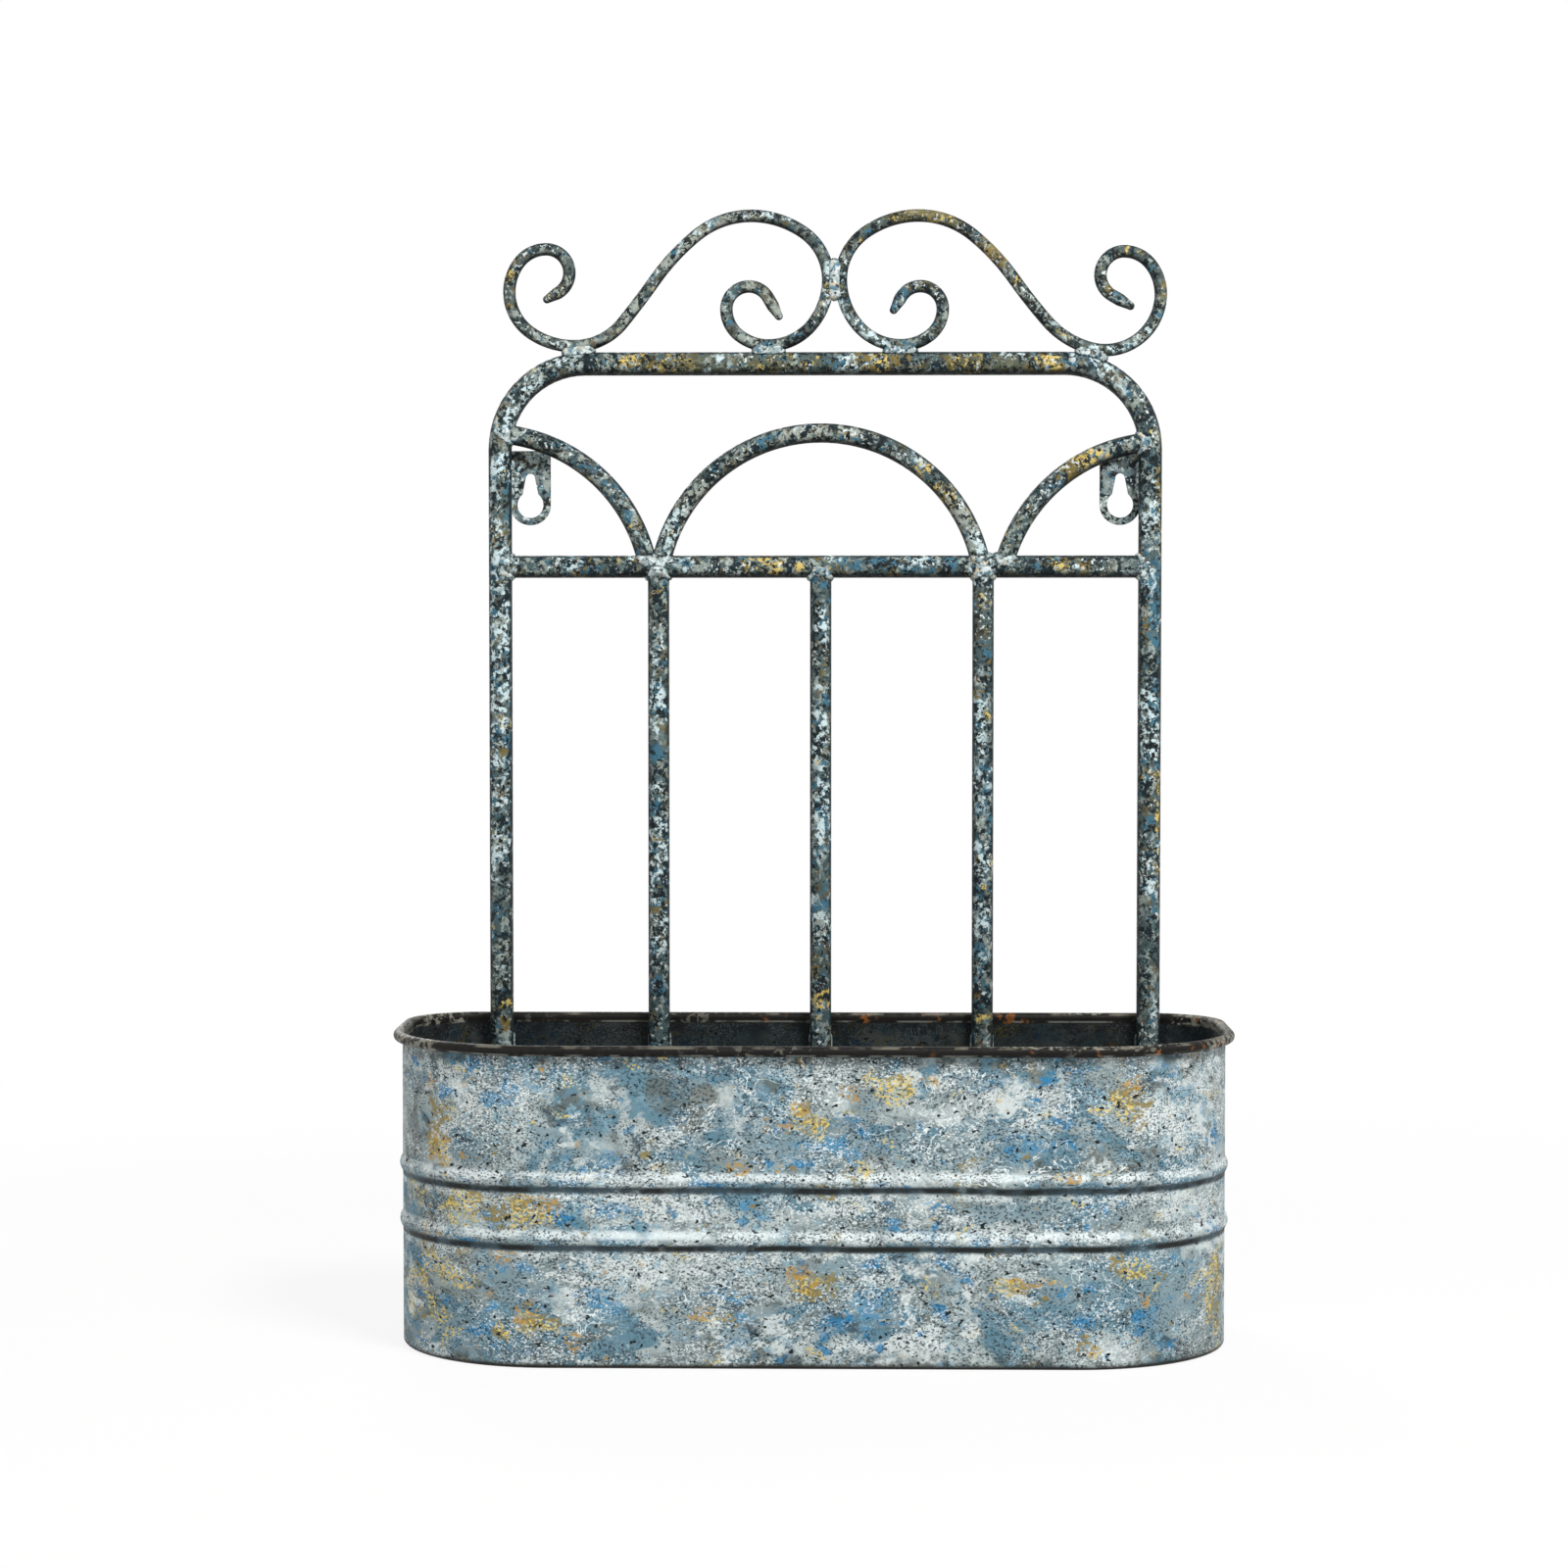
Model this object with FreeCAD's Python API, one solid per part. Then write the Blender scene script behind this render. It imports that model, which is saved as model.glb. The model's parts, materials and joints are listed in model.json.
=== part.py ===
import FreeCAD, Part
import math
import os
from collections import namedtuple
from FreeCAD import Vector

# Wall planter: a sheet-steel trough carrying a welded tube trellis with scrolls on top.
# Millimetres, +Z up, front towards -Y, origin on the ground under the middle of the trough.

# Trough, outer faces
wall_width = 410.0
wall_depth = 150.0
rim_height = 156.0
front_corner = 78.0
back_corner = 33.0
sheet = 0.8
lip_width = 8.0
lip_bend = 2.0
lower_bead_z = 62.0
upper_bead_z = 90.0
bead_band = 10.0
bead_proud = 1.5
rim_wire_dia = 3.5
rim_slack = 0.1
rim_turn = 300.0
seam_width = 9.0
seam_proud = 1.6

# Loose floor on the lip
pan_flange = 8.0
pan_slack = 0.2
drain_dia = 8.0
drain_pitch = 60.0
drain_count = 5

# Trellis tubes
frame_dia = 12.0
rail_dia = 11.5
upright_dia = 11.0
arch_dia = 10.0
tube_wall = 1.0
post_spacing = 334.0
shoulder_radius = 44.0
foot_rail_z = 24.0
cross_rail_z = 387.0
top_rail_rise = 104.0
arch_foot_inset = 0.9
arch_drop = 15.5
right_arch_drop = 20.0
quarter_offset = 6.5
wall_gap = 0.2
pane_count = 4
upright_names = ["upright_left", "upright_centre", "upright_right"]

# Hand-set places: the frame from the trough's middle, the rest from the frame's middle
frame_shift = 5.0
lattice_shift = -2.0
scroll_shift = 5.0

# Scroll rod, places given outward from the pair's middle and up from the top rail's axis
rod_dia = 6.5
rod_tip_dia = 4.2
rod_gap = 0.1
tip_length = 8.0
left_eye_run = 5.0
right_eye_run = 1.5
left_curl_run = 0.5
right_curl_run = 5.0
curl_turn = 150.0
eye_x = 44.0
eye_z = 28.0
eye_radius = 11.5
inner_foot_x = 34.0
touch_z = 43.0
hump_x = 43.0
hump_z = 75.5
sway_x = 92.0
sway_z = 43.0
sway_slope = 54.5
outer_foot_x = 131.5
limb_x = 167.0
limb_z = 37.0
curl_x = 148.1
curl_z = 46.8
curl_radius = 12.0

# Keyhole tabs behind the arches
hanger_sheet = 2.0
hanger_width = 21.0
hanger_inset = 15.0
left_hanger_drop = 2.5
right_hanger_drop = 1.0
keyhole_rise = 32.0
keyhole_dia = 13.5
keyslot_width = 5.0
keyslot_foot = 10.5
keyslot_rise = 13.5

# Weld beads
collar_leg = 1.8
foot_weld_length = 18.0
foot_weld_radius = 4.6
touch_weld_length = 22.0
tab_weld_length = 20.0
tab_weld_radius = 2.4
corner_weld_length = 9.0
corner_weld_radius = 3.2
tab_weld_forward = 0.8
tack_length = 16.0
tack_radius = 2.2
tack_high_z = 138.0
tack_low_z = 40.0

# Sizes that follow
frame_r = frame_dia / 2
rail_r = rail_dia / 2
upright_r = upright_dia / 2
arch_r = arch_dia / 2
rod_r = rod_dia / 2
top_rail_z = cross_rail_z + top_rail_rise
keyhole_z = cross_rail_z + keyhole_rise
pane_pitch = post_spacing / pane_count
arch_radius = math.hypot(pane_pitch - arch_foot_inset, arch_drop)
left_post_x = frame_shift - post_spacing / 2
right_post_x = frame_shift + post_spacing / 2
lattice_x = frame_shift + lattice_shift
scroll_x = frame_shift + scroll_shift
curl_wire_r = rim_wire_dia / 2 + rim_slack
back_corner_x = wall_width / 2 - back_corner
back_corner_y = wall_depth / 2 - back_corner

up = Vector(0, 0, 1)
right = Vector(1, 0, 0)
back = Vector(0, 1, 0)
front = Vector(0, -1, 0)

Bend = namedtuple("Bend", "radius turn")
Piece = namedtuple("Piece", "start heading length radius turn")


def trellis_plane():
    # The posts stand against the wall's inside, also where it starts to turn the corner.
    reach = back_corner - sheet - wall_gap - frame_r
    over = max(0.0, max(right_post_x, -left_post_x) - back_corner_x)
    return back_corner_y + math.sqrt(reach ** 2 - over ** 2)


bar_y = trellis_plane()


# Flat paths in x and z, made of straight runs and arcs that meet without a kink

def direction(heading):
    return Vector(math.cos(math.radians(heading)), 0, math.sin(math.radians(heading)))


def left_of(heading):
    return direction(heading + 90)


def along(piece, share, shift=0.0):
    heading = piece.heading + piece.turn * share
    if piece.radius == 0:
        spot = piece.start + direction(heading) * (piece.length * share)
    else:
        reach = math.copysign(piece.radius, piece.turn)
        spot = piece.start + left_of(piece.heading) * reach - left_of(heading) * reach
    return spot + left_of(heading) * shift


def walk(start, heading, moves):
    pieces = []
    for move in moves:
        if isinstance(move, Bend):
            piece = Piece(start, heading, 0.0, move.radius, move.turn)
        else:
            piece = Piece(start, heading, move, 0.0, 0.0)
        pieces.append(piece)
        start = along(piece, 1.0)
        heading += piece.turn
    return pieces


def arc_to(start, heading, end):
    chord = end - start
    lean = heading - math.degrees(math.atan2(chord.z, chord.x))
    lean = (lean + 180) % 360 - 180
    return Piece(start, heading, 0.0, chord.Length / (2 * math.sin(math.radians(abs(lean)))), -2 * lean)


def two_arcs(start, start_heading, end, end_heading):
    # A pair of arcs from one point and heading to another, with equal tangent lengths.
    first = direction(start_heading)
    last = direction(end_heading)
    span = end - start
    both = first + last
    spread = 2 * (1 - first.dot(last))
    push = span.dot(both)
    reach = (math.sqrt(push ** 2 + spread * span.dot(span)) - push) / spread
    meet = (start + first * reach + end - last * reach) * 0.5
    opening = arc_to(start, start_heading, meet)
    closing = arc_to(meet, start_heading + opening.turn, end)
    return [opening, closing]


def through(knots):
    # Arcs through a list of points, each with its heading.
    pieces = []
    for (start, heading), (end, end_heading) in zip(knots, knots[1:]):
        pieces += two_arcs(start, heading, end, end_heading)
    return pieces


def side_edge(piece, shift):
    if piece.radius == 0:
        return Part.LineSegment(along(piece, 0, shift), along(piece, 1, shift)).toShape()
    return Part.Arc(along(piece, 0, shift), along(piece, 0.5, shift), along(piece, 1, shift)).toShape()


def strip(pieces, inner, outer):
    # Section of a sheet that follows a path, between two distances to its left.
    edges = [side_edge(piece, inner) for piece in pieces]
    edges += [side_edge(piece, outer) for piece in pieces]
    for piece, share in ((pieces[0], 0), (pieces[-1], 1)):
        edges.append(Part.LineSegment(along(piece, share, inner), along(piece, share, outer)).toShape())
    return Part.Face(Part.Wire(Part.__sortEdges__(edges)))


def joined(shapes):
    if len(shapes) == 1:
        return shapes[0]
    return shapes[0].multiFuse(shapes[1:])


def disc(centre, normal, radius):
    return Part.Face(Part.Wire(Part.Circle(centre, normal, radius).toShape()))


def rod(pieces, radius):
    # Round bar along a flat path in the plane of the trellis.
    runs = []
    for piece in pieces:
        start = piece.start + back * bar_y
        face = disc(start, direction(piece.heading), radius)
        if piece.radius == 0:
            runs.append(face.extrude(direction(piece.heading) * piece.length))
        else:
            hub = start + left_of(piece.heading) * math.copysign(piece.radius, piece.turn)
            runs.append(face.revolve(hub, front, piece.turn))
    return joined(runs)


def tube(pieces, radius):
    return rod(pieces, radius).cut(rod(pieces, radius - tube_wall))


# Trough

def around(profile):
    # Carries a section, drawn outward from the outer face, round the trough's plan.
    half_width = wall_width / 2
    half_depth = wall_depth / 2
    corners = []
    for radius, side_x, side_y, turn in (
        (front_corner, 1, -1, -90),
        (back_corner, 1, 1, 0),
        (back_corner, -1, 1, 90),
        (front_corner, -1, -1, 180),
    ):
        centre = Vector(side_x * (half_width - radius), side_y * (half_depth - radius), 0)
        corners.append((centre, radius, turn))
    runs = []
    for here, ahead in zip(corners, corners[1:] + corners[:1]):
        centre, radius, turn = here
        next_centre, next_radius, next_turn = ahead
        section = profile.copy()
        section.translate(right * radius)
        section.rotate(Vector(), up, turn)
        section.translate(centre)
        runs.append(section.revolve(centre, up, 90))
        side = FreeCAD.Rotation(up, next_turn).multVec(right)
        run = next_centre + side * next_radius - centre - side * radius
        section.rotate(centre, up, 90)
        runs.append(section.extrude(run))
    return joined(runs)


def plan_face(inset):
    # The trough's outline, set in from its outer face.
    half_width = wall_width / 2 - inset
    half_depth = wall_depth / 2 - inset
    front_r = front_corner - inset
    back_r = back_corner - inset
    edges = []
    ends = []
    for side_x, side_y, radius in ((1, -1, front_r), (1, 1, back_r), (-1, 1, back_r), (-1, -1, front_r)):
        centre = Vector(side_x * (half_width - radius), side_y * (half_depth - radius), 0)
        flat = centre + Vector(0, side_y * radius, 0)
        steep = centre + Vector(side_x * radius, 0, 0)
        middle = centre + Vector(side_x, side_y, 0) * (radius * math.sqrt(0.5))
        edges.append(Part.Arc(flat, middle, steep).toShape())
        ends.append((flat, steep))
    (flat_a, steep_a), (flat_b, steep_b), (flat_c, steep_c), (flat_d, steep_d) = ends
    for start, end in ((steep_a, steep_b), (flat_b, flat_c), (steep_c, steep_d), (flat_d, flat_a)):
        edges.append(Part.LineSegment(start, end).toShape())
    return Part.Face(Part.Wire(Part.__sortEdges__(edges)))


def bead_moves():
    turn = 2 * math.degrees(math.atan2(bead_proud, bead_band / 2))
    radius = bead_band / 4 / math.sin(math.radians(turn))
    return [Bend(radius, -turn), Bend(radius, 2 * turn), Bend(radius, -turn)]


def wall_moves(bottom_z, top_z):
    # Straight runs of the wall with its two beads.
    bead = bead_band / 2
    lower = [lower_bead_z - bead - bottom_z] + bead_moves()
    upper = [upper_bead_z - lower_bead_z - bead_band] + bead_moves()
    return lower + upper + [top_z - upper_bead_z - bead]


def make_trough_wall():
    half = sheet / 2
    curl_z = rim_height - sheet - curl_wire_r
    lip = [lip_width - lip_bend, Bend(lip_bend - half, 90)]
    rim = [Bend(curl_wire_r + half, -rim_turn)]
    path = walk(Vector(-lip_width, 0, half), 0, lip + wall_moves(lip_bend, curl_z) + rim)
    wall = around(strip(path, half, -half))
    seam_path = walk(Vector(-half, 0, lip_bend), 90, wall_moves(lip_bend, curl_z - curl_wire_r - sheet))
    seam_face = strip(seam_path, -half, -half - seam_proud)
    seam_face.rotate(Vector(), up, 90)
    seam_face.translate(Vector(seam_width / 2, wall_depth / 2, 0))
    return wall.fuse(seam_face.extrude(right * -seam_width))


def make_rim_wire():
    centre = Vector(curl_wire_r, 0, rim_height - sheet - curl_wire_r)
    return around(disc(centre, back, rim_wire_dia / 2))


def make_base_pan():
    half = sheet / 2
    edge = sheet + pan_slack
    plate_inset = edge + lip_width
    path = walk(
        Vector(-plate_inset, 0, sheet + half),
        0,
        [lip_width - lip_bend, Bend(lip_bend - half, 90), pan_flange - lip_bend],
    )
    plate = plan_face(plate_inset).extrude(up * sheet)
    plate.translate(up * sheet)
    pan = around(strip(path, half, -half)).fuse(plate)
    for number in range(drain_count):
        x = (number - (drain_count - 1) / 2) * drain_pitch
        pan = pan.cut(Part.makeCylinder(drain_dia / 2, pan_flange, Vector(x, 0, 0)))
    return pan.removeSplitter()


# Trellis

def frame_path():
    rise = top_rail_z - shoulder_radius - foot_rail_z + frame_r
    shoulder = Bend(shoulder_radius, -90)
    span = post_spacing - 2 * shoulder_radius
    foot = Vector(left_post_x, 0, foot_rail_z - frame_r)
    return walk(foot, 90, [rise, shoulder, span, shoulder, rise])


def rail_path(z):
    return walk(Vector(left_post_x, 0, z), 0, [post_spacing])


def upright_path(x):
    return walk(Vector(x, 0, foot_rail_z), 90, [cross_rail_z - foot_rail_z])


def post_at(side):
    return right_post_x if side > 0 else left_post_x


def arch_foot(drop):
    # Where an arch's centre line meets the cross rail's axis: its lean there and its reach from the middle.
    lean = math.asin(drop / arch_radius)
    return math.degrees(lean), arch_radius * math.cos(lean)


def centre_arch_path():
    lean, reach = arch_foot(arch_drop)
    return walk(Vector(lattice_x - reach, 0, cross_rail_z), 90 - lean, [Bend(arch_radius, 2 * lean - 180)])


def quarter_drop(side):
    return right_arch_drop if side > 0 else arch_drop


def quarter_arch_path(side):
    lean, reach = arch_foot(quarter_drop(side))
    foot = Vector(post_at(side) + side * (quarter_offset - reach), 0, cross_rail_z)
    sweep = math.degrees(math.acos(quarter_offset / arch_radius)) - lean
    return walk(foot, 90 - side * lean, [Bend(arch_radius, -side * sweep)])


def rod_seat(x):
    # Height and outward slope of a rod that rests on the frame's top, also on a round shoulder.
    into = max(0.0, abs(x - frame_shift) - post_spacing / 2 + shoulder_radius)
    reach = shoulder_radius + frame_r + rod_r + rod_gap
    slope = math.asin(into / reach)
    return reach * math.cos(slope) - shoulder_radius, math.degrees(slope)


def scroll_path(side):
    # From the inner curl, over the foot and the hump, down the sway and round the outer curl.
    foot_z, _ = rod_seat(scroll_x)
    outer_z, slope = rod_seat(scroll_x + side * outer_foot_x)
    settle = up * (outer_z - foot_z)
    eye_run, curl_run = (right_eye_run, right_curl_run) if side > 0 else (left_eye_run, left_curl_run)
    eye_heading = curl_turn - 90
    eye_side = left_of(eye_heading) * eye_radius
    eye_start = Vector(eye_x, 0, eye_z) + eye_side - direction(eye_heading) * eye_run
    curl_start = Vector(curl_x, 0, curl_z + curl_radius) + settle
    eye = walk(eye_start, eye_heading, [eye_run, Bend(eye_radius, -curl_turn)])
    body = through([
        (Vector(eye_x + eye_radius, 0, eye_z), -90),
        (Vector(inner_foot_x, 0, foot_z), -180),
        (Vector(rod_r, 0, touch_z), -270),
        (Vector(hump_x, 0, hump_z), -360),
        (Vector(sway_x, 0, sway_z), -360 - sway_slope),
        (Vector(outer_foot_x, 0, outer_z), -360 - slope),
        (Vector(limb_x, 0, limb_z) + settle, -270),
        (curl_start, -180),
    ])
    curl = walk(curl_start, -180, [Bend(curl_radius, curl_turn), curl_run])
    base = Vector(scroll_x, 0, top_rail_z)
    placed = []
    for piece in eye + body + curl:
        start = Vector(side * piece.start.x, 0, piece.start.z) + base
        heading = piece.heading if side > 0 else 180 - piece.heading
        placed.append(Piece(start, heading, piece.length, piece.radius, side * piece.turn))
    return placed


def rod_tip(spot, heading):
    # Drawn-out end of a rod: a taper with a round point.
    tip_r = rod_tip_dia / 2
    cone_end = tip_length - tip_r
    bow = tip_r * math.sqrt(0.5)
    taper = Part.makePolygon([
        Vector(0, 0, 0),
        Vector(rod_r, 0, 0),
        Vector(tip_r, 0, cone_end),
    ])
    point = Part.Arc(
        Vector(tip_r, 0, cone_end),
        Vector(bow, 0, cone_end + bow),
        Vector(0, 0, tip_length),
    ).toShape()
    axis = Part.LineSegment(Vector(0, 0, tip_length), Vector(0, 0, 0)).toShape()
    tip = Part.Face(Part.Wire(taper.Edges + [point, axis])).revolve(Vector(), up, 360)
    tip.Placement = FreeCAD.Placement(spot + back * bar_y, FreeCAD.Rotation(up, direction(heading)))
    return tip


def make_scroll(side):
    path = scroll_path(side)
    first, last = path[0], path[-1]
    tips = [
        rod_tip(first.start, first.heading + 180),
        rod_tip(along(last, 1), last.heading + last.turn),
    ]
    return joined([rod(path, rod_r)] + tips)


def hanger_tops(side):
    # Both tabs end behind their arch: the left one is cut square, the right one to the arch's slope.
    drop = quarter_drop(side) + (right_hanger_drop if side > 0 else left_hanger_drop)
    runs = [quarter_offset + hanger_inset + reach for reach in (hanger_width / 2, -hanger_width / 2)]
    inner, outer = [cross_rail_z - drop + math.sqrt(arch_radius ** 2 - run ** 2) for run in runs]
    return (inner, outer) if side > 0 else (inner, inner)


def make_hanger(side):
    x = post_at(side) - side * hanger_inset
    half = hanger_width / 2
    plane_y = bar_y + arch_r
    inner_top, outer_top = hanger_tops(side)
    left_top, right_top = (inner_top, outer_top) if side > 0 else (outer_top, inner_top)
    hole = Vector(x, plane_y, keyhole_z)
    shoulder_left = Vector(x - half, plane_y, keyhole_z)
    shoulder_right = Vector(x + half, plane_y, keyhole_z)
    sides = Part.makePolygon([
        shoulder_left,
        Vector(x - half, plane_y, left_top),
        Vector(x + half, plane_y, right_top),
        shoulder_right,
    ])
    round_end = Part.Arc(shoulder_right, Vector(x, plane_y, keyhole_z - half), shoulder_left).toShape()
    tab = Part.Face(Part.Wire(sides.Edges + [round_end])).extrude(back * hanger_sheet)
    slot_top = hole + up * keyslot_rise
    to_foot = right * (keyslot_foot / 2)
    to_top = right * (keyslot_width / 2)
    taper = [hole - to_foot, slot_top - to_top, slot_top + to_top, hole + to_foot, hole - to_foot]
    opening = joined([
        disc(hole, back, keyhole_dia / 2).extrude(back * hanger_sheet),
        disc(slot_top, back, keyslot_width / 2).extrude(back * hanger_sheet),
        Part.Face(Part.makePolygon(taper)).extrude(back * hanger_sheet),
    ])
    return tab.cut(opening).removeSplitter()


# Weld beads, cut to the pieces that they join

def run_bead(centre, axis, length, radius):
    # Straight weld run with round ends.
    half = length / 2 - radius
    bow = radius * math.sqrt(0.5)
    low = Part.Arc(Vector(0, 0, -half - radius), Vector(bow, 0, -half - bow), Vector(radius, 0, -half))
    side = Part.LineSegment(Vector(radius, 0, -half), Vector(radius, 0, half))
    high = Part.Arc(Vector(radius, 0, half), Vector(bow, 0, half + bow), Vector(0, 0, half + radius))
    core = Part.LineSegment(Vector(0, 0, half + radius), Vector(0, 0, -half - radius))
    outline = Part.Wire([line.toShape() for line in (low, side, high, core)])
    bead = Part.Face(outline).revolve(Vector(), up, 360)
    bead.Placement = FreeCAD.Placement(centre, FreeCAD.Rotation(up, axis))
    return bead


def collar(spot, main_axis, main_r, heading, branch_r):
    # Fillet of weld metal round a tube that stands on another one.
    away = direction(heading)
    start = spot + back * bar_y
    crown = main_r + collar_leg
    skirt = Part.makeCone(branch_r + crown, branch_r, crown, start, away)
    reach = 2 * (branch_r + crown)
    band = Part.makeCylinder(crown, 2 * reach, start - main_axis * reach, main_axis)
    near = Part.makeCylinder(branch_r + collar_leg, crown, start, away)
    return skirt.common(band).common(near)


def cut_to(beads, neighbours):
    metal = joined(beads)
    return metal.cut(joined(neighbours))


def wall_zone():
    # The trough's wall and what lies outside it, with the gap that the bars keep.
    outline = plan_face(-frame_dia).extrude(up * rim_height)
    return outline.cut(plan_face(sheet + wall_gap).extrude(up * rim_height))


def upright_places():
    first = left_post_x + lattice_shift
    return [first + pane_pitch * number for number in range(1, pane_count)]


def make_rail_welds(solid):
    beads = []
    for z in (cross_rail_z, foot_rail_z):
        beads.append(collar(Vector(left_post_x, 0, z), up, frame_r, 0, rail_r))
        beads.append(collar(Vector(right_post_x, 0, z), up, frame_r, 180, rail_r))
    for x in upright_places():
        beads.append(collar(Vector(x, 0, foot_rail_z), right, rail_r, 90, upright_r))
        beads.append(collar(Vector(x, 0, cross_rail_z), right, rail_r, -90, upright_r))
    bars = ["outer_frame", "cross_rail", "foot_rail"] + upright_names
    return cut_to(beads, [solid[name] for name in bars]).cut(wall_zone())


def make_arch_welds(solid):
    beads = []
    for path in (centre_arch_path(), quarter_arch_path(-1), quarter_arch_path(1)):
        arch = path[0]
        foot = arch.start
        beads.append(collar(foot, right, rail_r, arch.heading, arch_r))
        end = along(arch, 1)
        if abs(end.z - cross_rail_z) < rail_r:
            beads.append(collar(end, right, rail_r, arch.heading + arch.turn + 180, arch_r))
        else:
            beads.append(collar(end, up, frame_r, arch.heading + arch.turn + 180, arch_r))
    bars = ["outer_frame", "cross_rail", "centre_arch", "quarter_arch_left", "quarter_arch_right"]
    return cut_to(beads, [solid[name] for name in bars + ["hanger_left", "hanger_right"]])


def make_scroll_welds(solid):
    beads = []
    for side in (-1, 1):
        for reach in (inner_foot_x, outer_foot_x):
            x = scroll_x + side * reach
            seat_z, slope = rod_seat(x)
            foot = Vector(x, bar_y, top_rail_z + seat_z - rod_r)
            beads.append(run_bead(foot, direction(-side * slope), foot_weld_length, foot_weld_radius))
    touch = Vector(scroll_x, bar_y, top_rail_z + touch_z)
    beads.append(run_bead(touch, up, touch_weld_length, foot_weld_radius))
    return cut_to(beads, [solid[name] for name in ("outer_frame", "scroll_left", "scroll_right")])


def make_hanger_welds(solid):
    bead_y = bar_y + arch_r - tab_weld_forward
    edge_inset = hanger_inset - hanger_width / 2
    corner_inset = hanger_inset + hanger_width / 2 - corner_weld_radius
    beads = []
    for side in (-1, 1):
        top_z = hanger_tops(side)[0]
        edge = Vector(post_at(side) - side * edge_inset, bead_y, (top_z + keyhole_z) / 2)
        corner = Vector(post_at(side) - side * corner_inset, bead_y, top_z)
        beads.append(run_bead(edge, up, tab_weld_length, tab_weld_radius))
        beads.append(run_bead(corner, right, corner_weld_length, corner_weld_radius))
    bars = ["outer_frame", "quarter_arch_left", "quarter_arch_right", "hanger_left", "hanger_right"]
    return cut_to(beads, [solid[name] for name in bars])


def make_wall_welds(solid):
    # All bars are tacked near the rim, the posts also near the floor.
    inside = plan_face(sheet).extrude(up * rim_height)
    posts = [(left_post_x, frame_r), (right_post_x, frame_r)]
    uprights = [(x, upright_r) for x in upright_places()]
    crease_y = bar_y + frame_r - tack_radius / 2
    beads = []
    for bars, z in ((posts, tack_low_z), (posts + uprights, tack_high_z)):
        for x, radius in bars:
            for side in (-1, 1):
                crease = Vector(x + side * radius * math.sqrt(0.5), crease_y, z)
                beads.append(run_bead(crease, up, tack_length, tack_radius))
    kept = joined(beads).common(inside)
    return kept.cut(joined([solid[name] for name in ["outer_frame"] + upright_names]))


def make_all():
    # Solid bars first: they cut the tubes' ends and the welds, then the tubes get their bores.
    paths = {
        "outer_frame": (frame_path(), frame_r),
        "cross_rail": (rail_path(cross_rail_z), rail_r),
        "foot_rail": (rail_path(foot_rail_z), rail_r),
        "centre_arch": (centre_arch_path(), arch_r),
        "quarter_arch_left": (quarter_arch_path(-1), arch_r),
        "quarter_arch_right": (quarter_arch_path(1), arch_r),
    }
    for name, x in zip(upright_names, upright_places()):
        paths[name] = (upright_path(x), upright_r)
    solid = {name: rod(path, radius) for name, (path, radius) in paths.items()}
    solid["scroll_left"] = make_scroll(-1)
    solid["scroll_right"] = make_scroll(1)
    solid["hanger_left"] = make_hanger(-1)
    solid["hanger_right"] = make_hanger(1)
    carriers = {
        "cross_rail": ["outer_frame"],
        "foot_rail": ["outer_frame"],
        "centre_arch": ["cross_rail"],
        "quarter_arch_left": ["cross_rail", "outer_frame", "centre_arch"],
        "quarter_arch_right": ["cross_rail", "outer_frame", "centre_arch"],
    }
    for name in upright_names:
        carriers[name] = ["cross_rail", "foot_rail"]
    nodes = {
        "trough_wall": make_trough_wall(),
        "rim_wire": make_rim_wire(),
        "base_pan": make_base_pan(),
    }
    for name, (path, radius) in paths.items():
        piece = tube(path, radius)
        if name in carriers:
            piece = piece.cut(joined([solid[carrier] for carrier in carriers[name]]))
        nodes[name] = piece
    for name in ("scroll_left", "scroll_right", "hanger_left", "hanger_right"):
        nodes[name] = solid[name]
    nodes["rail_welds"] = make_rail_welds(solid)
    nodes["arch_welds"] = make_arch_welds(solid).cut(nodes["rail_welds"])
    nodes["scroll_welds"] = make_scroll_welds(solid)
    nodes["hanger_welds"] = make_hanger_welds(solid)
    nodes["wall_welds"] = make_wall_welds(solid)
    return nodes


os.makedirs("parts", exist_ok=True)
for name, shape in make_all().items():
    solids = shape.Solids
    body = solids[0] if len(solids) == 1 else Part.makeCompound(solids)
    body.exportStep("parts/" + name + ".step")
    print(name, len(solids), body.isValid(), round(body.Volume, 1))
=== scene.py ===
import json
import math

import bpy
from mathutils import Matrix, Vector, noise


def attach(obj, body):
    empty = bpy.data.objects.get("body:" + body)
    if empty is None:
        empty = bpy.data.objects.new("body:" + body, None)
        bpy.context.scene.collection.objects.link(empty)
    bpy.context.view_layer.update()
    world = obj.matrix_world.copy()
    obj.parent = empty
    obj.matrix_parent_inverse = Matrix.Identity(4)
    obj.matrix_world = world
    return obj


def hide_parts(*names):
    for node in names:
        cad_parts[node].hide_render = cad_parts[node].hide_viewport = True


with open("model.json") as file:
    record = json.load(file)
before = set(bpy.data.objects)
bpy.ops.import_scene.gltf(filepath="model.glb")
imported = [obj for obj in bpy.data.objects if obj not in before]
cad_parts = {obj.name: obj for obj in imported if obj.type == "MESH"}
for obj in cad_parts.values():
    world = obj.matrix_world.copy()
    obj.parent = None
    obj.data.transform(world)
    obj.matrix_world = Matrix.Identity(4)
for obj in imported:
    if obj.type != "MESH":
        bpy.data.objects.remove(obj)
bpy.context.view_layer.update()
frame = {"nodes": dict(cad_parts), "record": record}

scene = bpy.context.scene
cadNodes = frame["nodes"]
print("frame loaded:", len(cadNodes), "nodes")


# small helpers

mmPerMetre = 1000
white = (1.0, 1.0, 1.0, 1.0)


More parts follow.
